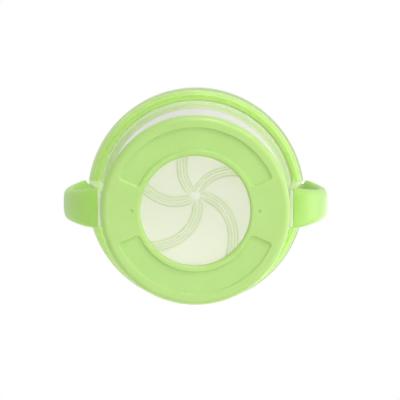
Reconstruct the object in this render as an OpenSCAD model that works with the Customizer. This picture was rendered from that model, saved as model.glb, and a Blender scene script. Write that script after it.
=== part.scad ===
// Two-handled toddler snack container, standing upright on its soft base ring.
// +Z is up, the origin is the middle of the underside and the handles lie along X.
// A clear cup carries a press-on lid: a collar that holds a soft membrane with five
// curved flaps, and a clear travel cover that snaps over the collar.

/* [Cup] */
// Height of the rim above the table
rim_z = 72; // [70:1:76]
// Outer radius of the wall where it meets the floor
foot_r = 37.4; // [36:0.2:38]
// Outer radius of the straight neck under the lid
neck_r = 43.6; // [42.6:0.2:43.8]
// Thickness of the wall
wall_t = 1.9; // [1.5:0.1:2.4]
// Thickness of the floor
floor_t = 2.2; // [1.8:0.1:3]
// Outer radius of the corner between wall and floor
foot_round = 5; // [4:0.5:6]

/* [Handle pads] */
// Width of the flat pads that the handles are bonded to
pad_w = 15.4; // [14:0.2:17]
// Distance of the pad's face from the axis at the lower handle root
pad_low_x = 42; // [41.4:0.2:43]
// Distance of the pad's face from the axis at the upper handle root
pad_high_x = 47.9; // [47:0.1:48]

/* [Base ring] */
// Largest radius of the soft ring round the foot
ring_r = 40.2; // [39.8:0.1:41]
// Height that the ring reaches up the wall
ring_h = 9.6; // [8:0.2:9.8]
// Thickness of the ring under the floor
ring_t = 2.2; // [1.8:0.1:2.6]
// Radius of the window that shows the clear floor
window_r = 23.2; // [20:0.2:24]
// Inner radius of the two sunken panels
panel_in_r = 25.8; // [25.6:0.1:28]
// Outer radius of the two sunken panels
panel_out_r = 35.2; // [33:0.1:35.6]
// Angle that each panel spans
panel_span = 134; // [100:1:140]
// Depth of the panels
panel_depth = 0.8; // [0.4:0.1:1]

/* [Handles] */
// Distance of the handle's outermost point from the axis
handle_reach = 57.8; // [56:0.1:62]
// Width of the strap at its lower root
lower_root_w = 17.7; // [16:0.1:18]
// Width of the strap at its upper root, before its corners are rounded
upper_root_w = 17.8; // [15:0.1:18]
// Width of the strap at its outermost point
waist_w = 13.1; // [9:0.1:14]
// Height of the crowned outer side of the strap over its middle line
crown_t = 3; // [2:0.1:3.2]
// Depth of the flatter finger side of the strap under its middle line
palm_t = 1.8; // [1.4:0.1:2.4]

/* [Lid] */
// Radius of the collar's lower band
collar_r = 48.1; // [47.8:0.1:48.8]
// Height of the collar's lower edge
collar_low_z = 62; // [61.5:0.5:63]
// Radius of the hand hole in the collar
hole_r = 40.5; // [39.5:0.1:41]
// Thickness of the soft membrane
membrane_t = 1.2; // [1:0.1:1.4]

/* [Flaps] */
// Width of the slits between the flaps
slit_w = 0.7; // [0.6:0.1:1]
// Radius where the slits end
slit_end_r = 34; // [33:0.5:35]
// Turn of the slits in degrees for each millimetre outwards
slit_turn = 1.92; // [1.6:0.01:2]
// Width of the raised lip along each slit
lip_w = 1.9; // [1:0.1:2.2]
// Height of the lips over the membrane
lip_h = 0.4; // [0.2:0.1:0.6]

/* [Travel cover] */
// Outer radius of the skirt
cover_r = 49; // [48.6:0.1:50]
// Height of the cover's top over the table
cover_top_z = 91; // [89:1:96]
// Thickness of the cover
cover_t = 1.6; // [1.4:0.1:1.8]

/* [Hidden] */
$fn = 96;

eps = 0.01;
fit = 0.3;                         // air between pieces that part from each other

// Cup
floor_z = ring_t;                  // underside of the clear floor
neck_z = 62;                       // where the taper ends and the straight neck begins
bead_r = 0.45;                     // bead that the collar grips
bead_z = 66;

// Pads, measured at the middle heights of the two handle roots
root_low_z = 13.5;
root_high_z = 57.6;
pad_slope = (pad_high_x - pad_low_x) / (root_high_z - root_low_z);
pad_low_z = ring_h;
pad_top_z = 61;
function pad_x(z) = pad_low_x + pad_slope * (z - root_low_z);

// Base ring
ring_round = 2.6;                  // lower outer edge
ring_top_round = 1.2;
ring_draft = 0.1;                  // the side leans out by this much
lip_round = 0.9;                   // edge of the window
panel_round = 1.2;
dimple_r = 0.6;
dimple_deep = 0.4;
dimple_at = 27;

// Collar, from its lower band up to the plate round the hand hole
collar_in_r = neck_r + 1;
step_z = 68.5;                     // the travel cover's skirt stops over this step
collar_up_r = 46.9;
plate_z = rim_z + fit + 2;         // underside of the plate, on the membrane's flange
collar_top_z = plate_z + 2.3;
collar_round = 0.8;

// Membrane and flaps
flap_count = 5;
pitch = 360 / flap_count;
slit_start = -0.6;                 // angle of the first slit, extended to the axis
membrane_z = rim_z + fit + 1.3;    // middle of the membrane's thickness
flange_r = 43.9;
tip_r = 2;                         // the flaps end here, round a small hole
root_r = 26;                       // where a flap's root line meets the next slit
hinge_gap = membrane_t / 2 + 0.25;
slit_hole_r = 1;                   // round end that stops a slit from tearing
lip_stop_a = 3;                    // the lips stop short of the root line by these radii,
lip_stop_b = 5;                    // so that a bent flap's lips clear the membrane
slit_steps = 16;

// Travel cover
skirt_low_z = step_z + fit;
drum_z = collar_top_z + fit + cover_t;
drum_r = 46.2;
drum_top_r = 44.6;
drum_round = 7;
tab_w = 14;
tab_reach = 52.6;
tab_round = 3;

// ---- profiles in the plane of radius and height ----

// Solid of revolution with a drafted wall, a round lower corner and a straight neck
module vessel(r_low, r_neck, z_low, z_high, corner) {
    slope = (r_neck - r_low) / (neck_z - z_low);
    stretch = sqrt(1 + slope * slope);
    corner_x = r_low + slope * corner - corner * stretch;
    polygon([
        [0, z_low],
        [corner_x, z_low],
        [corner_x + corner / stretch, z_low + corner - corner * slope / stretch],
        [r_neck, neck_z],
        [r_neck, z_high],
        [0, z_high]
    ]);
    intersection() {
        translate([corner_x, z_low + corner]) circle(corner);
        translate([0, z_low]) square([r_low + corner, corner]);
    }
}

module cup_outside(z_high = rim_z) {
    vessel(foot_r, neck_r, floor_z, z_high, foot_round);
}

module cup_section() {
    difference() {
        cup_outside(rim_z - wall_t / 2);
        vessel(foot_r - wall_t, neck_r - wall_t, floor_z + floor_t, rim_z, foot_round - wall_t);
    }
    translate([neck_r - wall_t / 2, rim_z - wall_t / 2]) circle(d = wall_t);
    translate([neck_r, bead_z]) circle(bead_r);
}

module base_ring_section() {
    side_r = ring_r - ring_draft;
    difference() {
        union() {
            polygon([
                [window_r, lip_round],
                [window_r + lip_round, 0],
                [side_r - ring_round, 0],
                [side_r, ring_round],
                [ring_r, ring_h - ring_top_round],
                [ring_r - ring_top_round, ring_h],
                [window_r, ring_h]
            ]);
            translate([side_r - ring_round, ring_round]) circle(ring_round);
            translate([ring_r - ring_top_round, ring_h - ring_top_round]) circle(ring_top_round);
            translate([window_r + lip_round, lip_round]) circle(lip_round);
        }
        cup_outside();
        translate([0, floor_z]) square([window_r + eps, ring_h]);
    }
}

module collar_section() {
    polygon([
        [collar_in_r, collar_low_z],
        [collar_r - collar_round, collar_low_z],
        [collar_r, collar_low_z + collar_round],
        [collar_r, step_z],
        [collar_up_r, step_z],
        [collar_up_r, collar_top_z - collar_round],
        [collar_up_r - collar_round, collar_top_z],
        [hole_r, collar_top_z],
        [hole_r, plate_z],
        [collar_in_r, plate_z]
    ]);
    translate([collar_r - collar_round, collar_low_z + collar_round]) circle(collar_round);
    translate([collar_up_r - collar_round, collar_top_z - collar_round]) circle(collar_round);
    translate([hole_r, (plate_z + collar_top_z) / 2]) circle(d = collar_top_z - plate_z);
}

// Filled outline of the cover's drum above its skirt, drawn in by a wall thickness
module drum_outline(inset) {
    corner = drum_round - inset;
    side_r = drum_top_r - inset;
    top_z = cover_top_z - inset;
    polygon([
        [0, drum_z - cover_t],
        [drum_r - inset, drum_z - cover_t],
        [side_r, top_z - corner],
        [side_r - corner, top_z],
        [0, top_z]
    ]);
    translate([side_r - corner, top_z - corner]) circle(corner);
}

module cover_section() {
    skirt_in_r = collar_up_r + fit;
    difference() {
        union() {
            translate([0, skirt_low_z]) square([cover_r, drum_z - skirt_low_z]);
            drum_outline(0);
        }
        translate([0, skirt_low_z - eps]) square([skirt_in_r, drum_z - cover_t - skirt_low_z + eps]);
        drum_outline(cover_t);
    }
}

// ---- slits and flaps, seen from above ----

function slit_angle(r, k) = slit_start + slit_turn * r + pitch * k;
function slit_heading(r, k) = slit_angle(r, k) + atan(r * slit_turn * PI / 180);

// A point of slit k at radius r, moved sideways to the counter-clockwise side
function slit_point(r, k, side = 0) =
    r * [cos(slit_angle(r, k)), sin(slit_angle(r, k))]
    + side * [cos(slit_heading(r, k) + 90), sin(slit_heading(r, k) + 90)];

function slit_line(k, side, from_r, to_r) = [
    for (i = [0 : slit_steps])
        slit_point(from_r + (to_r - from_r) * i / slit_steps, k, side)
];

// The strip along slit k between two sideways distances
module slit_strip(k, side_a, side_b, from_r, to_r) {
    polygon(concat(slit_line(k, side_a, from_r, to_r), slit_line(k, side_b, to_r, from_r)));
}

// Flap k reaches from the tip to its root line, between slit k and slit k + 1
module flap_outline(k) {
    polygon(concat(
        slit_line(k, slit_w / 2, tip_r, slit_end_r),
        slit_line(k + 1, -slit_w / 2, root_r, tip_r)
    ));
}

// The hole that flap k needs in the membrane, with air along its root line
module flap_hole(k) {
    root_a = slit_point(slit_end_r, k);
    root_b = slit_point(root_r, k + 1);
    along = (root_b - root_a) / norm(root_b - root_a);
    outwards = hinge_gap * [along.y, -along.x];
    polygon(concat(
        slit_line(k, 0, 0, slit_end_r),
        [root_a + outwards, root_b + outwards],
        slit_line(k + 1, 0, root_r, 0)
    ));
}

module at_membrane(thickness) {
    translate([0, 0, membrane_z - thickness / 2]) linear_extrude(thickness) children();
}

module flap(k) {
    lip_t = membrane_t + 2 * lip_h;
    lip_in = slit_w / 2;
    at_membrane(membrane_t) flap_outline(k);
    at_membrane(lip_t)
        slit_strip(k, lip_in, lip_in + lip_w, 2 * tip_r, slit_end_r - lip_stop_a);
    at_membrane(lip_t)
        slit_strip(k + 1, -lip_in, -lip_in - lip_w, 2 * tip_r, root_r - lip_stop_b);
}

// ---- handle strap: a crowned section swept along a curve in the plane of X and Z ----

strap_rings = 36;
strap_sides = 24;
strap_mid_x = handle_reach - crown_t;
strap_mid_z = 38;                  // height of the outermost point
upper_end_w = 13.4;                // the upper root's corners are rounded in to this width
corner_t = 0.93;                   // and start here along the strap

function bezier(p, t) =
    pow(1 - t, 3) * p[0] + 3 * pow(1 - t, 2) * t * p[1]
    + 3 * (1 - t) * t * t * p[2] + pow(t, 3) * p[3];

lower_arm = [
    [pad_low_x, root_low_z],
    [pad_low_x + 5.8, root_low_z + 0.5],
    [strap_mid_x, strap_mid_z - 14],
    [strap_mid_x, strap_mid_z]
];
upper_arm = [
    [strap_mid_x, strap_mid_z],
    [strap_mid_x, strap_mid_z + 8],
    [strap_mid_x - 2.2, root_high_z - 5.1],
    [pad_high_x, root_high_z]
];

// Point of the strap's middle line, with t from 0 at the lower root to 1 at the upper root
function strap_point(t) =
    t < 0.5 ? bezier(lower_arm, 2 * t) : bezier(upper_arm, 2 * t - 1);

// Direction across the strap's thickness, outwards; at both roots it lies in the pad's face
function strap_across(t) =
    let (step = 0.004,
         d = strap_point(min(1, t + step)) - strap_point(max(0, t - step)),
         n = [d.y, -d.x] / norm(d),
         face = [pad_slope, 1] / norm([pad_slope, 1]),
         low = max(0, 1 - t / 0.12),
         high = max(0, 1 - (1 - t) / 0.12),
         mixed = n * (1 - low - high) - face * low + face * high)
    mixed / norm(mixed);

function smooth(u) = let (v = min(1, max(0, u))) v * v * (3 - 2 * v);

// The strap widens evenly towards both roots
function strap_half_width(t) =
    let (inward = strap_mid_x - strap_point(t).x,
         full = t < 0.5
             ? waist_w + (lower_root_w - waist_w) * inward / (strap_mid_x - pad_low_x)
             : waist_w + (upper_root_w - waist_w) * inward / (strap_mid_x - pad_high_x))
    (full + (upper_end_w - full) * smooth((t - corner_t) / (1 - corner_t))) / 2;

// One ring of the sweep: an ellipse outside and a squarer, flatter curve on the finger side
function strap_ring(t) =
    let (c = strap_point(t), n = strap_across(t), w = strap_half_width(t))
    [for (j = [0 : strap_sides - 1])
        let (a = 360 * (j + 0.5) / strap_sides,
             y = w * sign(cos(a)) * pow(abs(cos(a)), 0.75),
             deep = sin(a) > 0 ? crown_t * sin(a) : -palm_t * pow(-sin(a), 0.55))
        [c.x + n.x * deep, y, c.y + n.y * deep]
    ];

module strap() {
    last = strap_rings * strap_sides;
    polyhedron(
        points = [for (i = [0 : strap_rings]) each strap_ring(i / strap_rings)],
        faces = concat(
            [[for (j = [strap_sides - 1 : -1 : 0]) j]],
            [for (i = [0 : strap_rings - 1], j = [0 : strap_sides - 1])
                let (a = i * strap_sides + j,
                     b = i * strap_sides + (j + 1) % strap_sides)
                each [[a, b, b + strap_sides], [a, b + strap_sides, a + strap_sides]]],
            [[for (j = [0 : strap_sides - 1]) last + j]]
        )
    );
}

// ---- the pieces ----

module cup_body() color([0.90, 0.92, 0.88, 0.35]) {
    difference() {
        union() {
            rotate_extrude() cup_section();
            for (side = [0, 1]) mirror([side, 0, 0]) handle_pad();
        }
        // The pads stay outside the wall
        rotate_extrude()
            vessel(foot_r - wall_t, neck_r - wall_t, floor_z + floor_t, rim_z + 1,
                   foot_round - wall_t);
    }
}

module handle_pad() {
    inner_x = foot_r - wall_t / 2;
    translate([0, pad_w / 2, 0]) rotate([90, 0, 0]) linear_extrude(pad_w) polygon([
        [inner_x, pad_low_z],
        [pad_x(pad_low_z), pad_low_z],
        [pad_x(pad_top_z), pad_top_z],
        [inner_x, pad_top_z]
    ]);
}

module base_ring() color([0.74, 0.88, 0.52]) {
    difference() {
        rotate_extrude() base_ring_section();
        for (turn = [90, 270]) rotate(turn) sunken_panel();
        for (side = [-1, 1])
            translate([side * dimple_at, 0, -1]) cylinder(h = 1 + dimple_deep, r = dimple_r, $fn = 32);
    }
}

module sunken_panel() {
    far = 2 * ring_r;
    half = panel_span / 2;
    translate([0, 0, -1]) linear_extrude(1 + panel_depth)
        offset(r = panel_round, $fn = 32) offset(delta = -panel_round)
            intersection() {
                difference() {
                    circle(panel_out_r);
                    circle(panel_in_r);
                }
                polygon([
                    [0, 0],
                    far * [cos(half), -sin(half)],
                    [far, -far],
                    [far, far],
                    far * [cos(half), sin(half)]
                ]);
            }
}

module handle_right() color([0.76, 0.90, 0.54]) strap();

module handle_left() color([0.76, 0.90, 0.54]) mirror([1, 0, 0]) strap();

module lid_collar() color([0.70, 0.88, 0.42]) rotate_extrude() collar_section();

module flap_membrane() color([0.93, 0.94, 0.88]) {
    flange_t = plate_z - rim_z - fit;
    difference() {
        union() {
            at_membrane(membrane_t) circle(flange_r);
            translate([0, 0, rim_z + fit]) linear_extrude(flange_t) difference() {
                circle(flange_r);
                circle(hole_r);
            }
            // Lips along the outer ends of the slits
            for (k = [0 : flap_count - 1])
                at_membrane(membrane_t + 2 * lip_h)
                    slit_strip(k, -slit_w / 2, -slit_w / 2 - lip_w, root_r + 3.5, slit_end_r - 0.5);
        }
        at_membrane(3 * membrane_t) {
            for (k = [0 : flap_count - 1]) {
                flap_hole(k);
                slit_strip(k, -slit_w / 2, slit_w / 2, 0, slit_end_r);
                translate(slit_point(slit_end_r, k)) circle(slit_hole_r, $fn = 32);
            }
        }
    }
}

module flap_n(k) color([0.93, 0.94, 0.88]) flap(k);

module travel_cover() color([0.92, 0.94, 0.92, 0.35]) {
    rotate_extrude() cover_section();
    difference() {
        translate([0, 0, skirt_low_z]) linear_extrude(cover_t) {
            translate([0, -tab_w / 2]) square([tab_reach - tab_round, tab_w]);
            translate([0, tab_round - tab_w / 2]) square([tab_reach, tab_w - 2 * tab_round]);
            for (side = [-1, 1])
                translate([tab_reach - tab_round, side * (tab_w / 2 - tab_round)]) circle(tab_round);
        }
        translate([0, 0, skirt_low_z - 1]) cylinder(h = cover_t + 2, r = cover_r - cover_t / 2);
    }
}

cup_body();
base_ring();
handle_left();
handle_right();
lid_collar();
flap_membrane();
flap_n(0);  // flap_1
flap_n(1);  // flap_2
flap_n(2);  // flap_3
flap_n(3);  // flap_4
flap_n(4);  // flap_5
travel_cover();
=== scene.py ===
"""Looks of a two-handled toddler snack container, seen from below as it stands on its base.

The clear cup and travel cover are the CAD pieces with detailed materials. The collar and the soft
pieces (base ring, handles, membrane and flaps) are modelled here as finer meshes in the same places.
Lengths are written in millimetres and turned into metres where a mesh or a material is made. Only
the stage at the end, with its floor and lamps, is written in metres.
"""

import math

import bpy
from mathutils import Matrix, Vector


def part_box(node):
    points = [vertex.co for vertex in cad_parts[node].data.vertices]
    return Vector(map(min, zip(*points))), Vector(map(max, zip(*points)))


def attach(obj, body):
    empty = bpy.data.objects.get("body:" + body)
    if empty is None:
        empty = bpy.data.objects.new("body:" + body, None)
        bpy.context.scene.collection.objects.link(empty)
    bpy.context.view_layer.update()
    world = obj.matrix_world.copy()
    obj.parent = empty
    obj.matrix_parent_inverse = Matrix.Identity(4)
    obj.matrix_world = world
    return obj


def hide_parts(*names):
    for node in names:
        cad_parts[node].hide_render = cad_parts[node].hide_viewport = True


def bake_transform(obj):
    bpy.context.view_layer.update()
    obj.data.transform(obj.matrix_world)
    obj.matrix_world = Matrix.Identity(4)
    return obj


MM = 0.001

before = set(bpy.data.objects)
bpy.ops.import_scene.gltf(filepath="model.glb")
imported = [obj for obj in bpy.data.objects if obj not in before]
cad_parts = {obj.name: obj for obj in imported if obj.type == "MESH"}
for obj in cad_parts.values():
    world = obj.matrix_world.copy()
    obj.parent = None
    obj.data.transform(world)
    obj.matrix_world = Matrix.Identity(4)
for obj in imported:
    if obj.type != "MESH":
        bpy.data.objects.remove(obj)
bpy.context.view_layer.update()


# ---- sizes shared with the CAD model, read from the frame or repeated from it (mm) ----


def highest(node):
    """Highest corner of a CAD node, in millimetres."""
    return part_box(node)[1] / MM


RING_R = highest("base_ring").x
RING_H = highest("base_ring").z
RING_T = 2.2
WINDOW_R = 23.2
FOOT_R = 37.4
NECK_R = 43.6
NECK_Z = 62
PANEL_IN_R = 25.8
PANEL_OUT_R = 35.2
PANEL_SPAN = 134
PANEL_DEPTH = 0.8
DIMPLE_AT = 27
DIMPLE_R = 0.6
DIMPLE_DEPTH = 0.4

PAD_LOW_X = 42
PAD_HIGH_X = 47.9
ROOT_LOW_Z = 13.5
ROOT_HIGH_Z = 57.6
LOWER_ROOT_W = 17.7
UPPER_ROOT_W = 17.8
WAIST_W = 13.1
CROWN_T = 3
PALM_T = 1.8
HANDLE_REACH = 57.8

COLLAR_R = 48.1
COLLAR_LOW_Z = 62
COLLAR_IN_R = 44.6
COLLAR_STEP_Z = 68.5
COLLAR_UP_R = 46.9
PLATE_Z = 74.3
COLLAR_TOP_Z = 76.6

MEMBRANE_Z = 73.6
MEMBRANE_T = 1.2
FLANGE_LOW_Z = 72.3
FLANGE_TOP_Z = 74.3
FLANGE_R = 43.9
HOLE_R = 40.5
JOIN_R = 36.5
FLAPS = 5
PITCH = 360 / FLAPS
SLIT_START = -0.6
SLIT_TURN = 1.92
SLIT_W = 0.7
SLIT_END_R = 34
TIP_R = 2
LIP_W = 1.9
LIP_H = 0.4


# ---- camera: the photograph looks up at the base, tilted a few degrees to the front ----

FRAME_PX = 400
SENSOR_MM = 36
PX_PER_MM = 2.377
DISTANCE_MM = 900
BASE_CENTRE_PX = (195.3, 211.3)
RIM_CENTRE_PX = (196.0, 196.2)
RIM_CENTRE_Z = 68


def in_camera(pixel, depth, focal_px):
    """A pixel of the frame at that depth, in camera axes."""
    x, y = pixel
    half = FRAME_PX / 2
    return Vector(((x - half) / focal_px, (half - y) / focal_px, -1)) * depth


def make_camera():
    """Places the camera so that the base's and the rim's centres fall on their pixels."""
    focal_px = PX_PER_MM * DISTANCE_MM
    base = in_camera(BASE_CENTRE_PX, DISTANCE_MM, focal_px)
    rim = in_camera(RIM_CENTRE_PX, DISTANCE_MM + RIM_CENTRE_Z, focal_px)
    up = (rim - base).normalized()
    right = (Vector((1, 0, 0)) - up * up.x).normalized()
    ahead = up.cross(right)
    to_camera = Matrix((right, ahead, up)).transposed().to_4x4()
    to_camera.translation = base * MM
    data = bpy.data.cameras.new("camera")
    data.sensor_width = SENSOR_MM
    data.lens = focal_px * SENSOR_MM / FRAME_PX
    camera = bpy.data.objects.new("camera", data)
    bpy.context.scene.collection.objects.link(camera)
    camera.matrix_world = to_camera.inverted()
    bpy.context.scene.camera = camera


# ---- small helpers for node trees ----


def to_linear(value):
    """One channel of a screen colour, as the linear value that shaders take."""
    return value / 12.92 if value <= 0.04045 else ((value + 0.055) / 1.055) ** 2.4


def linear(code):
    """A colour written as #RRGGBB, in linear values and opaque."""
    return tuple(to_linear(int(code[i : i + 2], 16) / 255) for i in (1, 3, 5)) + (1,)


def put(tree, socket, value):
    """Sets a socket to a plain value, or links it to another node's output."""
    if isinstance(value, bpy.types.NodeSocket):
        tree.links.new(value, socket)
    else:
        socket.default_value = value


def maths(tree, operation, *values):
    node = tree.nodes.new("ShaderNodeMath")
    node.operation = operation
    for socket, value in zip(node.inputs, values):
        put(tree, socket, value)
    return node.outputs["Value"]


def remap(tree, value, low, high, start=0, end=1, curve="LINEAR"):
    """Goes from low to high while the value goes from start to end."""
    node = tree.nodes.new("ShaderNodeMapRange")
    node.interpolation_type = curve
    settings = {"Value": value, "From Min": start, "From Max": end, "To Min": low, "To Max": high}
    for socket, setting in settings.items():
        put(tree, node.inputs[socket], setting)
    return node.outputs["Result"]


def coordinate(tree, kind, axis):
    """One coordinate of the shaded point, such as its X in object space."""
    place = tree.nodes.new("ShaderNodeTexCoord")
    split = tree.nodes.new("ShaderNodeSeparateXYZ")
    tree.links.new(place.outputs[kind], split.inputs["Vector"])
    return split.outputs[axis]


def noise(tree, scale, detail, roughness=0.5):
    """A noise texture in object space, with its features about 1 / scale metres wide."""
    place = tree.nodes.new("ShaderNodeTexCoord")
    node = tree.nodes.new("ShaderNodeTexNoise")
    node.inputs["Scale"].default_value = scale
    node.inputs["Detail"].default_value = detail
    node.inputs["Roughness"].default_value = roughness
    tree.links.new(place.outputs["Object"], node.inputs["Vector"])
    return node.outputs["Fac"]


def mix_colours(tree, share, first, second):
    """The first colour where the share is 0, the second where it is 1."""
    node = tree.nodes.new("ShaderNodeMix")
    node.data_type = "RGBA"
    colour_a, colour_b, colour_out = node.inputs[6], node.inputs[7], node.outputs[2]
    put(tree, node.inputs["Factor"], share)
    put(tree, colour_a, first)
    put(tree, colour_b, second)
    return colour_out


def mix_surfaces(tree, share, first, second):
    """Makes the material's surface from two shaders: the share is how much the second one counts."""
    mix = tree.nodes.new("ShaderNodeMixShader")
    put(tree, mix.inputs["Fac"], share)
    tree.links.new(first.outputs[0], mix.inputs[1])
    tree.links.new(second.outputs[0], mix.inputs[2])
    tree.links.new(mix.outputs[0], tree.nodes["Material Output"].inputs["Surface"])


# ---- what the materials are made of ----

RAMP_STARTS = 0.3
RAMP_ENDS = 0.7


def new_material(name):
    """A new material, its node tree and its main shader."""
    material = bpy.data.materials.new(name)
    material.use_nodes = True
    tree = material.node_tree
    return material, tree, tree.nodes["Principled BSDF"]


def drift(tree, shader, main, shade, scale, detail):
    """Gives the shader two close colours that drift into each other, and returns their mixture."""
    node = tree.nodes.new("ShaderNodeValToRGB")
    stops = node.color_ramp.elements
    stops[0].position = RAMP_STARTS
    stops[0].color = linear(main)
    stops[1].position = RAMP_ENDS
    stops[1].color = linear(shade)
    tree.links.new(noise(tree, scale, detail), node.inputs["Fac"])
    tree.links.new(node.outputs["Color"], shader.inputs["Base Color"])
    return node.outputs["Color"]


def roughen(tree, shader, scale, detail, low, high):
    """Lets the roughness wander between two values."""
    tree.links.new(remap(tree, noise(tree, scale, detail), low, high), shader.inputs["Roughness"])


def bump(tree, shader, height, depth, strength=1.0):
    """Relief from a height map, with its full depth in millimetres."""
    node = tree.nodes.new("ShaderNodeBump")
    node.inputs["Strength"].default_value = strength
    node.inputs["Distance"].default_value = depth * MM
    tree.links.new(height, node.inputs["Height"])
    tree.links.new(node.outputs["Normal"], shader.inputs["Normal"])


def scatter(shader, share, reach, colours):
    """Light that spreads under the surface as far as that reach in millimetres."""
    shader.inputs["Subsurface Weight"].default_value = share
    shader.inputs["Subsurface Radius"].default_value = colours
    shader.inputs["Subsurface Scale"].default_value = reach * MM


def let_through(tree, shader, colour, share):
    """Lets a share of the light come through from the far side."""
    glow = tree.nodes.new("ShaderNodeBsdfTranslucent")
    tree.links.new(colour, glow.inputs["Color"])
    mix_surfaces(tree, share, shader, glow)


def by_height(tree, heights, low_value, high_value):
    """A value that changes between two heights over the table, given in millimetres."""
    start, end = heights
    height = coordinate(tree, "Object", "Z")
    return remap(tree, height, low_value, high_value, start * MM, end * MM, "SMOOTHSTEP")


# ---- green materials and silicone ----


def soft_touch(name, main, shade, translucence=0.05, sheen=0.0, spread_light=0.3):
    """Green thermoplastic rubber: satin, with a fine moulded grain and faint drifts of colour."""
    material, tree, shader = new_material(name)
    colour = drift(tree, shader, main, shade, scale=60, detail=3)
    roughen(tree, shader, scale=900, detail=5, low=0.36, high=0.52)
    shader.inputs["Specular IOR Level"].default_value = 0.8
    shader.inputs["Sheen Weight"].default_value = sheen
    scatter(shader, spread_light, reach=3, colours=(0.6, 1.0, 0.25))
    bump(tree, shader, noise(tree, scale=2600, detail=6, roughness=0.6), depth=0.04)
    let_through(tree, shader, colour, translucence)
    return material


def moulded_plastic(name, main, shade, smoothest=0.2, roughest=0.34, wave=0.003):
    """Glossy green plastic of the collar, with slight flow marks as deep as the wave."""
    material, tree, shader = new_material(name)
    drift(tree, shader, main, shade, scale=45, detail=2)
    roughen(tree, shader, scale=300, detail=5, low=smoothest, high=roughest)
    scatter(shader, 0.6, reach=4, colours=(0.6, 1.0, 0.2))
    bump(tree, shader, noise(tree, scale=500, detail=4), depth=wave)
    return material


def silicone(name, main, shade, translucence):
    """Pale translucent silicone: part of the light comes through from the far side."""
    material, tree, shader = new_material(name)
    colour = drift(tree, shader, main, shade, scale=70, detail=3)
    roughen(tree, shader, scale=700, detail=4, low=0.4, high=0.55)
    bump(tree, shader, noise(tree, scale=1500, detail=5), depth=0.03)
    let_through(tree, shader, colour, translucence)
    return material


# ---- clear plastic of the cup and the cover ----

CLEAR_FLOOR = 0.92
CLEAR_WALL = 0.58
CLEAR_NECK = 0.3
CLEAR_PADS = 0.3
CLEARNESS_TO_WALL = (6, 14)
CLEARNESS_TO_NECK = (52, 61)
FLOOR_TINT = "#FDFDFA"
# Painted shade: the clear wall is tinted grey so that it looks darker than the floor.
PAINTED_WALL_SHADE = "#DADAD0"
# Painted light: pale green on the neck and the pads stands in for green light from the collar and the
# handles behind them.
PAINTED_GREEN_LIGHT = "#F0F8DC"
WALL_SHADE_HEIGHTS = (4, 16)
GREEN_LIGHT_HEIGHTS = (44, 60)
PADS_FROM_X = PAD_LOW_X - 2.2
PADS_FULL_X = PAD_LOW_X - 1.4
COVER_DYE = (0.52, 0.7, 0.25)
COVER_DYE_DENSITY = 130


def clear_plastic(name, tint, shadow_tint, smoothest, roughest):
    """Clear moulded plastic, with its node tree and its main shader.

    Light for shadows and bounces passes straight through, so that the inside isn't dark.
    """
    material, tree, shader = new_material(name)
    shader.inputs["Base Color"].default_value = linear(tint)
    shader.inputs["Transmission Weight"].default_value = 0.95
    shader.inputs["IOR"].default_value = 1.49
    roughen(tree, shader, scale=220, detail=4, low=smoothest, high=roughest)
    bump(tree, shader, noise(tree, scale=90, detail=3), depth=0.03, strength=0.5)
    path = tree.nodes.new("ShaderNodeLightPath").outputs
    passes = maths(tree, "MAXIMUM", path["Is Shadow Ray"], path["Is Diffuse Ray"])
    through = tree.nodes.new("ShaderNodeBsdfTransparent")
    through.inputs["Color"].default_value = linear(shadow_tint)
    mix_surfaces(tree, passes, shader, through)
    return material, tree, shader


def on_pads(tree):
    """1 on the handles' pads and the neck's outermost parts, 0 on the rest of the cup."""
    away = maths(tree, "ABSOLUTE", coordinate(tree, "Object", "X"))
    return remap(tree, away, 0, 1, PADS_FROM_X * MM, PADS_FULL_X * MM)


def cup_clearness(tree):
    """How much light passes: most in the floor, less in the wall, least in the neck and the pads."""
    wall = by_height(tree, CLEARNESS_TO_WALL, CLEAR_FLOOR, CLEAR_WALL)
    wall_and_neck = by_height(tree, CLEARNESS_TO_NECK, wall, CLEAR_NECK)
    return remap(tree, on_pads(tree), wall_and_neck, CLEAR_PADS)


def cup_colour_with_painted_light(tree):
    """Colour of the clear cup: near white in its floor, a painted grey shade up the wall, and painted
    green light on the neck and the pads, where green pieces lie behind it.
    """
    # Painted shade: from the near-white floor to a grey wall, by height.
    plain = mix_colours(tree, by_height(tree, WALL_SHADE_HEIGHTS, 0, 1), linear(FLOOR_TINT), linear(PAINTED_WALL_SHADE))
    # Painted green light on the pads and high on the neck.
    green = maths(tree, "MAXIMUM", on_pads(tree), by_height(tree, GREEN_LIGHT_HEIGHTS, 0, 1))
    return mix_colours(tree, green, plain, linear(PAINTED_GREEN_LIGHT))


def cup_plastic():
    material, tree, shader = clear_plastic("cup_clear", FLOOR_TINT, "#FCFDFA", 0.04, 0.08)
    tree.links.new(cup_clearness(tree), shader.inputs["Transmission Weight"])
    tree.links.new(cup_colour_with_painted_light(tree), shader.inputs["Base Color"])
    return material


def cover_plastic():
    """Clear plastic with a trace of green dye, which shows where light goes a long way through it."""
    material, tree, _ = clear_plastic("cover_clear", "#FBFDF8", "#FBFCF9", 0.02, 0.05)
    dye = tree.nodes.new("ShaderNodeVolumeAbsorption")
    dye.inputs["Color"].default_value = (*COVER_DYE, 1)
    dye.inputs["Density"].default_value = COVER_DYE_DENSITY
    tree.links.new(dye.outputs[0], tree.nodes["Material Output"].inputs["Volume"])
    return material


def dress(node, material):
    """Gives a CAD node its material."""
    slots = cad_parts[node].data.materials
    slots.clear()
    slots.append(material)


# ---- mesh helpers ----


def smooth(u):
    v = min(1.0, max(0.0, u))
    return v * v * (3 - 2 * v)


def rises(value, start, end):
    """Goes smoothly from 0 at the start to 1 at the end."""
    return smooth((value - start) / (end - start))


def falls(value, start, end):
    """Goes smoothly from 1 at the start to 0 at the end."""
    return smooth((end - value) / (end - start))


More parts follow.
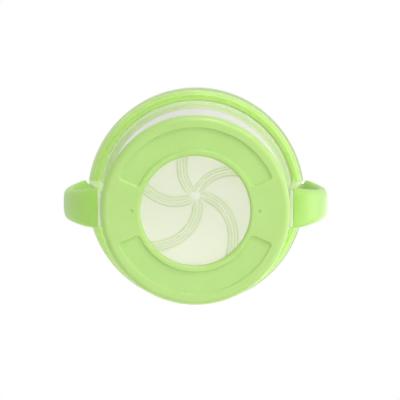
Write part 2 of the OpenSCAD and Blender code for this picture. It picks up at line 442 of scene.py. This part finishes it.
def spread(start, end, steps):
    """Evenly spaced values from the start to the end, with both."""
    return [start + (end - start) * i / steps for i in range(steps + 1)]


def arc(centre, radius, start, end, steps):
    """Points of an arc in the plane of radius and height, with angles in degrees."""
    turns = [math.radians(angle) for angle in spread(start, end, steps)]
    return [(centre[0] + radius * math.cos(t), centre[1] + radius * math.sin(t)) for t in turns]


def closed_sweep(rings, wrap):
    """Quads between neighbouring closed rings of equal length.

    With wrap, the last ring joins the first. Without it, both ends are capped.
    """
    count, side = len(rings), len(rings[0])
    points = [p for ring in rings for p in ring]
    faces = []
    for i in range(count if wrap else count - 1):
        here, there = i * side, (i + 1) % count * side
        for j in range(side):
            k = (j + 1) % side
            faces.append((here + j, here + k, there + k, there + j))
    if not wrap:
        faces.append(tuple(range(side))[::-1])
        faces.append(tuple((count - 1) * side + j for j in range(side)))
    return points, faces


def revolve(outline, steps):
    """Points and faces of an outline of radii and heights, turned about the cup's axis."""
    rings = []
    for turn in spread(0, 2 * math.pi, steps)[:-1]:
        c, s = math.cos(turn), math.sin(turn)
        rings.append([(r * c, r * s, z) for r, z in outline])
    return closed_sweep(rings, wrap=True)


def make_piece(name, points, faces, materials, face_slots=None, rounded=True):
    """A mesh object from points in millimetres, with smooth shading where it is rounded."""
    mesh = bpy.data.meshes.new(name)
    mesh.from_pydata([Vector(p) * MM for p in points], [], faces)
    for material in materials:
        mesh.materials.append(material)
    if face_slots:
        mesh.polygons.foreach_set("material_index", face_slots)
    mesh.polygons.foreach_set("use_smooth", [rounded] * len(faces))
    mesh.update()
    piece = bpy.data.objects.new(name, mesh)
    bpy.context.scene.collection.objects.link(piece)
    return piece


# ---- base ring: a soft ring with a rounded window lip and two sunken panels ----

RING_STEPS = 720
PANEL_EDGE = 0.35
PANEL_CORNER = 1.6
PANEL_ZONE = 0.6
DIMPLE_EDGE = 0.12
DIMPLE_ZONE = 0.9
SIDE_DRAFT = 0.1
WINDOW_LIP = 1.4
RING_FOOT = 2.6
RING_TOP = 1.2
CUP_FOOT = 5.0


def dimple_sink(radius, turn):
    """How far the underside is sunk by the nearest dimple, at an angle from the X axis."""
    away = math.hypot(radius * math.cos(turn) - DIMPLE_AT, radius * math.sin(turn))
    return DIMPLE_DEPTH * falls(away, DIMPLE_R - DIMPLE_EDGE, DIMPLE_R + DIMPLE_EDGE)


def panel_sink(radius, turn):
    """How far the underside is sunk at a radius and an angle from the middle of the nearest panel."""
    half_r = (PANEL_OUT_R - PANEL_IN_R) / 2
    mid_r = (PANEL_OUT_R + PANEL_IN_R) / 2
    half_a = math.radians(PANEL_SPAN / 2)
    out_r = abs(radius - mid_r) - (half_r - PANEL_CORNER)
    out_a = (abs(turn) - half_a) * radius + PANEL_CORNER
    beyond = math.hypot(max(out_r, 0), max(out_a, 0)) + min(max(out_r, out_a), 0) - PANEL_CORNER
    return PANEL_DEPTH * falls(beyond, -PANEL_EDGE, PANEL_EDGE)


def underside(radius, turn):
    """Height of the ring's underside, with its panels on the Y axis and its dimples on the X axis."""
    from_panel = turn % math.pi - math.pi / 2
    from_dimple = (turn + math.pi / 2) % math.pi - math.pi / 2
    return panel_sink(radius, from_panel) + dimple_sink(radius, from_dimple)


def underside_radii(start, end):
    """Radii between two ends, closer together where the panels' edges and the dimples are."""
    stretches = (
        (PANEL_IN_R - PANEL_ZONE, 6),
        (PANEL_IN_R + PANEL_ZONE, 8),
        (DIMPLE_AT + DIMPLE_ZONE, 12),
        (PANEL_OUT_R - PANEL_ZONE, 12),
        (PANEL_OUT_R + PANEL_ZONE, 8),
        (end, 4),
    )
    radii = [start]
    for reach, steps in stretches:
        radii += spread(radii[-1], reach, steps)[1:]
    return radii[1:-1]


def ring_profile():
    """Closed outline of the ring's section, from the window over the underside to the cup's foot."""
    side_r = RING_R - SIDE_DRAFT
    wall_slope = (NECK_R - FOOT_R) / (NECK_Z - RING_T)
    wall_top_r = FOOT_R + (RING_H - RING_T) * wall_slope
    outline = arc((WINDOW_R + WINDOW_LIP, WINDOW_LIP), WINDOW_LIP, 180, 270, 8)
    outline += [(r, 0) for r in underside_radii(WINDOW_R + WINDOW_LIP, side_r - RING_FOOT)]
    outline += arc((side_r - RING_FOOT, RING_FOOT), RING_FOOT, 270, 358, 12)
    outline += arc((RING_R - RING_TOP, RING_H - RING_TOP), RING_TOP, 0, 90, 8)
    outline += [(wall_top_r, RING_H), (FOOT_R + 0.45, RING_T + CUP_FOOT - 0.3)]
    outline += arc((FOOT_R + 0.5 - CUP_FOOT, RING_T + CUP_FOOT), CUP_FOOT, -8, -90, 8)
    outline += [(WINDOW_R, RING_T)]
    return outline


def make_base_ring(material):
    outline = ring_profile()
    rings = []
    for turn in spread(0, 2 * math.pi, RING_STEPS)[:-1]:
        c, s = math.cos(turn), math.sin(turn)
        rings.append([(r * c, r * s, z if z else underside(r, turn)) for r, z in outline])
    points, faces = closed_sweep(rings, wrap=True)
    piece = make_piece("soft_base_ring", points, faces, [material])
    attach(piece, "cup")
    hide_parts("base_ring")


# ---- handles: a crowned strap swept along two Bezier arms ----

STRAP_RINGS = 96
STRAP_SIDES = 48
STRAP_MID_X = HANDLE_REACH - CROWN_T
STRAP_MID_Z = 38
UPPER_END_W = 13.4
CORNER_T = 0.93
ROOT_SHARE = 0.12
FLANK_POWER = 0.6
CROWN_POWER = 0.7
PALM_POWER = 0.55
LOWER_ARM = [
    Vector((PAD_LOW_X, ROOT_LOW_Z)),
    Vector((PAD_LOW_X + 5.8, ROOT_LOW_Z + 0.5)),
    Vector((STRAP_MID_X, STRAP_MID_Z - 14)),
    Vector((STRAP_MID_X, STRAP_MID_Z)),
]
UPPER_ARM = [
    Vector((STRAP_MID_X, STRAP_MID_Z)),
    Vector((STRAP_MID_X, STRAP_MID_Z + 8)),
    Vector((STRAP_MID_X - 2.2, ROOT_HIGH_Z - 5.1)),
    Vector((PAD_HIGH_X, ROOT_HIGH_Z)),
]
PAD_SLOPE = (PAD_HIGH_X - PAD_LOW_X) / (ROOT_HIGH_Z - ROOT_LOW_Z)


def bezier(p, t):
    u = 1 - t
    return p[0] * u**3 + p[1] * 3 * u * u * t + p[2] * 3 * u * t * t + p[3] * t**3


def strap_point(t):
    """Point of the strap's middle line, from the lower root at 0 to the upper root at 1."""
    return bezier(LOWER_ARM, 2 * t) if t < 0.5 else bezier(UPPER_ARM, 2 * t - 1)


def strap_across(t):
    """Outward direction across the strap's thickness; it lies in the pad's face at both roots."""
    step = 0.004
    d = (strap_point(min(1, t + step)) - strap_point(max(0, t - step))).normalized()
    normal = Vector((d.y, -d.x))
    face = Vector((PAD_SLOPE, 1)).normalized()
    low, high = max(0, 1 - t / ROOT_SHARE), max(0, 1 - (1 - t) / ROOT_SHARE)
    return (normal * (1 - low - high) - face * low + face * high).normalized()


def strap_half_width(t):
    """Narrow at the waist, wider towards the roots, and drawn in again at the upper end."""
    root_w, root_x = (LOWER_ROOT_W, PAD_LOW_X) if t < 0.5 else (UPPER_ROOT_W, PAD_HIGH_X)
    inward = (STRAP_MID_X - strap_point(t).x) / (STRAP_MID_X - root_x)
    full = WAIST_W + (root_w - WAIST_W) * inward
    return (full + (UPPER_END_W - full) * rises(t, CORNER_T, 1)) / 2


def strap_ring(t, side):
    """Section of the strap: a crown outside and a flatter palm side. The side is 1 or -1 along X."""
    centre, across, width = strap_point(t), strap_across(t), strap_half_width(t)
    ring = []
    for j in range(STRAP_SIDES):
        a = 2 * math.pi * (j + 0.5) / STRAP_SIDES
        c, s = math.cos(a), math.sin(a)
        y = width * math.copysign(abs(c) ** FLANK_POWER, c)
        deep = CROWN_T * s**CROWN_POWER if s > 0 else -PALM_T * (-s) ** PALM_POWER
        p = centre + across * deep
        ring.append((side * p.x, y, p.y))
    return ring[:: -side]


def make_handle(name, side, material):
    rings = [strap_ring(t, side) for t in spread(0, 1, STRAP_RINGS)]
    points, faces = closed_sweep(rings, wrap=False)
    piece = make_piece(name, points, faces, [material])
    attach(piece, "cup")
    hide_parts("handle_right" if side > 0 else "handle_left")


# ---- collar: a press-on ring with a flared, finely ridged lower band and a rounded hand hole ----

COLLAR_STEPS = 720
SEAL_R = 43.75
FLARE_IN_R = 46.2
FLARE_TOP_Z = 64.8
FLARE_STEPS = 36
RIDGES = 3
RIDGE_H = 0.16
STEP_ROUND = 0.5
TOP_ROUND = 0.8


def flare():
    """The band's lower outer side, which leans outwards with fine ridges along it."""
    low, high = Vector((FLARE_IN_R, COLLAR_LOW_Z)), Vector((COLLAR_R, FLARE_TOP_Z))
    slope = (high - low).normalized()
    outwards = Vector((slope.y, -slope.x))
    points = []
    for t in spread(0, 1, FLARE_STEPS):
        swell = RIDGE_H * math.sin(2 * math.pi * RIDGES * t) * math.sin(math.pi * t) ** 0.5
        p = low.lerp(high, t) + outwards * swell
        points.append((p.x, p.y))
    return points


def collar_profile():
    """Closed outline of the collar's section, and the place in it where the flare starts."""
    lip = (COLLAR_TOP_Z - PLATE_Z) / 2
    outline = [(SEAL_R, COLLAR_LOW_Z), (COLLAR_IN_R + 0.2, COLLAR_LOW_Z)]
    flare_starts = len(outline)
    outline += flare()
    outline += [(COLLAR_R, FLARE_TOP_Z + 0.3)]
    outline += arc((COLLAR_R - STEP_ROUND, COLLAR_STEP_Z - STEP_ROUND), STEP_ROUND, 0, 90, 6)
    outline += [(COLLAR_UP_R + 0.1, COLLAR_STEP_Z), (COLLAR_UP_R, COLLAR_STEP_Z + 0.1)]
    outline += arc((COLLAR_UP_R - TOP_ROUND, COLLAR_TOP_Z - TOP_ROUND), TOP_ROUND, 0, 90, 8)
    outline += arc((HOLE_R, PLATE_Z + lip), lip, 90, 270, 16)
    outline += [(SEAL_R, PLATE_Z)]
    return outline, flare_starts


def make_collar(material, painted_light_material):
    """The collar, with a paler green on the flare and on the strips next to the neck: painted light on
    the flare band, and painted light that lifts the shade in the gap by the neck.
    """
    outline, flare_starts = collar_profile()
    points, faces = revolve(outline, COLLAR_STEPS)
    # Painted light: the flare and the strips next to the neck take the paler green.
    paler = {0, len(outline) - 1} | set(range(flare_starts, flare_starts + FLARE_STEPS))
    slots = [int(face[0] % len(outline) in paler) for face in faces]
    piece = make_piece("ridged_collar", points, faces, [material, painted_light_material], slots)
    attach(piece, "lid")
    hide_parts("lid_collar")


# ---- flaps: five blades between curved slits, each edge with a raised lip ----

FLAP_ROWS = 64
SLIT_END_ROWS = 12
LIP_COLUMNS = [0, 0.05, 0.15, 0.3, 0.6, 1.0, 1.4, 1.6, 1.75, 1.9, 2.05, 2.3]
# Apart from the slit's wall, strips below LIP_CORNER_ENDS and from LIP_FLANK_STARTS up to LIP_FLANK_ENDS
# carry painted shade lines; those between carry the lip's painted highlight.
LIP_CORNER_ENDS = 3
LIP_FLANK_STARTS = 7
LIP_FLANK_ENDS = 9
LIP_SHARE = 0.42
LIP_FROM_R = 3.5
LIP_FULL_R = 6.5
LIP_FLANK_IN = 0.35
LIP_FLANK_OUT = 0.2
MIDDLE_COLUMNS = 14
EDGE_ROUND = 0.22


def slit_angle(radius, k):
    """Angle of slit k at a radius: the slits turn evenly with the radius."""
    return math.radians(SLIT_START + SLIT_TURN * radius + PITCH * k)


def slit_lean(radius):
    """Cosine of the angle between the slit and the radius."""
    return math.cos(math.atan(radius * math.radians(SLIT_TURN)))


def half_gap(radius):
    """Half the slit's width, closing in a round end."""
    half = SLIT_W / 2
    over = radius - (SLIT_END_R - half)
    if over <= 0:
        return half
    return math.sqrt(max(0.0, half * half - over * over))


def half_thickness(edge, radius):
    """Half the flap's thickness at a distance from the slit's edge: a raised lip with soft sides."""
    fade = rises(radius, LIP_FROM_R, LIP_FULL_R) * falls(radius, SLIT_END_R - 0.8, SLIT_END_R + 0.4)
    lip = LIP_H * falls(edge, LIP_W - LIP_FLANK_IN, LIP_W + LIP_FLANK_OUT) * fade
    rounded = min(edge / EDGE_ROUND, 1.0)
    corner = EDGE_ROUND * (1 - math.sqrt(1 - (1 - rounded) ** 2))
    open_slit = falls(radius, SLIT_END_R - 0.1, SLIT_END_R + 0.3)
    return MEMBRANE_T / 2 + lip - corner * open_slit


def flap_radii():
    """Radii of the flap's rows, closer together at the slits' round ends."""
    end_starts, end_ends = SLIT_END_R - 1.2, SLIT_END_R + 0.6
    radii = spread(TIP_R, end_starts, FLAP_ROWS)
    radii += spread(end_starts, end_ends, SLIT_END_ROWS)[1:]
    return radii + spread(end_ends, JOIN_R, 3)[1:]


def flap_columns(radius):
    """Distances along the arc from the slit's edge, and the distances to the nearer slit."""
    lean = slit_lean(radius)
    width = radius * math.radians(PITCH) - 2 * half_gap(radius) / lean
    shrink = min(1.0, LIP_SHARE * width * lean / LIP_COLUMNS[-1])
    near = [d * shrink / lean for d in LIP_COLUMNS]
    middle = spread(near[-1], width - near[-1], MIDDLE_COLUMNS)[1:-1]
    places = near + middle + [width - s for s in reversed(near)]
    return places, [min(s, width - s) * lean for s in places]


def flap_row(radius, k):
    """Closed section of flap k along an arc: its top from slit to slit, and its underside back."""
    places, edges = flap_columns(radius)
    start = slit_angle(radius, k) + half_gap(radius) / slit_lean(radius) / radius
    tip_round = EDGE_ROUND if radius == TIP_R else 0
    top, under = [], []
    for place, edge in zip(places, edges):
        turn = start + place / radius
        half = half_thickness(edge, radius) - tip_round
        x, y = radius * math.cos(turn), radius * math.sin(turn)
        top.append((x, y, MEMBRANE_Z + half))
        under.append((x, y, MEMBRANE_Z - half))
    return top + under[::-1]


def strip_slot(column):
    """Material of a strip: the web and the slit's wall, the lip's top with its painted highlight, or the
    painted shade lines at the lip's edges.
    """
    if column == 0 or column >= LIP_FLANK_ENDS:
        return 0
    return 1 if LIP_CORNER_ENDS <= column < LIP_FLANK_STARTS else 2


def flap_slots(faces, radii, side):
    """Material of each face. Rows have that many points, and strips count from the nearer slit."""
    last, middle = side - 1, side / 2 - 0.5
    slots = []
    for face in faces:
        columns = [i % side for i in face]
        strip = min(min(c, last - c, abs(c - middle) - 0.5) for c in columns)
        in_lip = len(face) == 4 and radii[face[0] // side] < SLIT_END_R
        slots.append(strip_slot(strip) if in_lip else 0)
    return slots


def make_flap(k, material, highlight_material, shade_line_material):
    """Flap k, drawn flat here; the real flap bends about a line from its own slit's end to a place on
    the next slit.
    """
    radii = flap_radii()
    rows = [flap_row(radius, k) for radius in radii]
    points, faces = closed_sweep(rows, wrap=False)
    slots = flap_slots(faces, radii, len(rows[0]))
    materials = [material, highlight_material, shade_line_material]
    piece = make_piece(f"soft_flap_{k + 1}", points, faces, materials, slots)
    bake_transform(piece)
    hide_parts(f"flap_{k + 1}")


# ---- membrane rim: the disc outside the flaps, with a thicker flange under the collar's plate ----

RIM_STEPS = 360
FLANGE_BEVEL = 0.3


def make_membrane_rim(material):
    half = MEMBRANE_T / 2
    outline = [
        (JOIN_R, MEMBRANE_Z - half),
        (HOLE_R - 0.8, MEMBRANE_Z - half),
        (HOLE_R, FLANGE_LOW_Z),
        (FLANGE_R - FLANGE_BEVEL, FLANGE_LOW_Z),
        (FLANGE_R, FLANGE_LOW_Z + FLANGE_BEVEL),
        (FLANGE_R, FLANGE_TOP_Z - FLANGE_BEVEL),
        (FLANGE_R - FLANGE_BEVEL, FLANGE_TOP_Z),
        (HOLE_R + 0.4, FLANGE_TOP_Z),
        (HOLE_R, MEMBRANE_Z + half),
        (JOIN_R, MEMBRANE_Z + half),
    ]
    points, faces = revolve(outline, RIM_STEPS)
    piece = make_piece("membrane_rim", points, faces, [material], rounded=False)
    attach(piece, "lid")
    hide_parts("flap_membrane")


# ---- stage: floor, background and lamps, in metres ----

FLOOR_REACH = 3.0
FLOOR_Z = -0.0003
UNDER_CUP_R = 0.045
GLOW_FROM_R = 0.2
GLOW_FULL_R = 1.6
GLOW = 0.55
WORLD_LIGHT = 0.52
HORIZON = 0.68
HORIZON_REACH = 0.45
LAMP_AIM = Vector((0, 0, 0.04))
# Each lamp's name, place, width, and power in watts.
LAMPS = (
    ("key_right", (0.74, 0.0, -0.1), 0.8, 3.8),
    ("soft_below", (-0.03, 0.2, -0.4), 0.3, 0.66),
    ("graze_front", (0.12, -0.68, -0.28), 0.3, 2.3),
    ("fill_back", (-0.2, 0.75, 0.4), 0.6, 1.4),
    ("top_soft", (0.3, 0.35, 0.75), 0.7, 2.4),
)


def floor_material():
    """Pale and matt, and whiter for the camera the further out it is.

    The floor isn't there from below and for shadow rays, nor under the cup for light that bounces.
    """
    material, tree, shader = new_material("pale_floor")
    shader.inputs["Base Color"].default_value = linear("#F4F4F2")
    shader.inputs["Roughness"].default_value = 0.9
    path = tree.nodes.new("ShaderNodeLightPath").outputs
    place = tree.nodes.new("ShaderNodeNewGeometry").outputs
    length = tree.nodes.new("ShaderNodeVectorMath")
    length.operation = "LENGTH"
    tree.links.new(place["Position"], length.inputs[0])
    away = length.outputs["Value"]
    fade = remap(tree, away, 0, GLOW, GLOW_FROM_R, GLOW_FULL_R)
    glow = tree.nodes.new("ShaderNodeEmission")
    put(tree, glow.inputs["Strength"], maths(tree, "MULTIPLY", fade, path["Is Camera Ray"]))
    surface = tree.nodes.new("ShaderNodeAddShader")
    tree.links.new(shader.outputs[0], surface.inputs[0])
    tree.links.new(glow.outputs[0], surface.inputs[1])
    under_cup = maths(tree, "LESS_THAN", away, UNDER_CUP_R)
    bounce_there = maths(tree, "MULTIPLY", under_cup, path["Is Diffuse Ray"])
    unseen = maths(tree, "MAXIMUM", place["Backfacing"], path["Is Shadow Ray"])
    unseen = maths(tree, "MAXIMUM", unseen, bounce_there)
    mix_surfaces(tree, unseen, surface, tree.nodes.new("ShaderNodeBsdfTransparent"))
    return material


def make_floor():
    """A floor that shows only from above, since the camera looks up through its plane."""
    signs = ((-1, -1), (1, -1), (1, 1), (-1, 1))
    corners = [(x * FLOOR_REACH, y * FLOOR_REACH, FLOOR_Z) for x, y in signs]
    mesh = bpy.data.meshes.new("floor")
    mesh.from_pydata(corners, [], [(0, 1, 2, 3)])
    floor = bpy.data.objects.new("floor", mesh)
    bpy.context.scene.collection.objects.link(floor)
    mesh.materials.append(floor_material())


def make_world():
    """Even light under a white background, which is greyer along the horizon in mirrors and glass."""
    world = bpy.data.worlds.new("studio")
    bpy.context.scene.world = world
    world.use_nodes = True
    tree = world.node_tree
    tree.nodes.clear()
    path = tree.nodes.new("ShaderNodeLightPath").outputs
    height = maths(tree, "ABSOLUTE", coordinate(tree, "Generated", "Z"))
    mirrored = remap(tree, height, HORIZON, 1, 0, HORIZON_REACH)
    mirror_or_glass = maths(tree, "MAXIMUM", path["Is Glossy Ray"], path["Is Transmission Ray"])
    unseen = remap(tree, mirror_or_glass, WORLD_LIGHT, mirrored)
    background = tree.nodes.new("ShaderNodeBackground")
    background.inputs["Color"].default_value = (1, 1, 1, 1)
    put(tree, background.inputs["Strength"], remap(tree, path["Is Camera Ray"], unseen, 1))
    output = tree.nodes.new("ShaderNodeOutputWorld")
    tree.links.new(background.outputs[0], output.inputs["Surface"])


def make_lamp(name, place, size, power):
    """A round area lamp that faces the cup."""
    data = bpy.data.lights.new(name, "AREA")
    data.shape = "DISK"
    data.size = size
    data.energy = power
    lamp = bpy.data.objects.new(name, data)
    bpy.context.scene.collection.objects.link(lamp)
    lamp.location = place
    lamp.rotation_mode = "QUATERNION"
    lamp.rotation_quaternion = (LAMP_AIM - Vector(place)).to_track_quat("-Z", "Y")


# ---- the scene ----

make_camera()
bpy.context.scene.view_settings.view_transform = "Standard"
make_world()
make_floor()
for lamp in LAMPS:
    make_lamp(*lamp)

ring_green = soft_touch("soft_green_ring", "#B9DE80", "#BEE286")
handle_green = soft_touch("soft_green_handle", "#AEDB68", "#B3DF6E", 0.15, 0.35, 0.6)
collar_green = moulded_plastic("collar_green", "#B2DC6C", "#B8E174")
# Paler copy of the collar green for the flare and the strips by the neck: painted light.
flare_painted_light = moulded_plastic("collar_green_flare_painted_light", "#BBDD88", "#C3E292", 0.32, 0.4, 0.006)
cup_clear = cup_plastic()
cover_clear = cover_plastic()
pale_silicone = silicone("pale_silicone", "#F9F8F3", "#FBFAF6", 0.45)
# Painted highlight: the lip tops take their own paler green-white copy of the silicone.
lip_painted_highlight = silicone("pale_silicone_lip_painted_highlight", "#F3F8DE", "#F6FAE6", 0.42)
# Painted shade: a darker grey-green copy of the silicone for the lines at the lips' edges.
lip_edge_painted_shade = silicone("pale_silicone_edge_painted_shade", "#BFCF96", "#C9D7A4", 0.3)

dress("cup_body", cup_clear)
dress("travel_cover", cover_clear)
make_base_ring(ring_green)
make_handle("soft_handle_right", 1, handle_green)
make_handle("soft_handle_left", -1, handle_green)
make_collar(collar_green, flare_painted_light)
make_membrane_rim(pale_silicone)
for k in range(FLAPS):
    make_flap(k, pale_silicone, lip_painted_highlight, lip_edge_painted_shade)
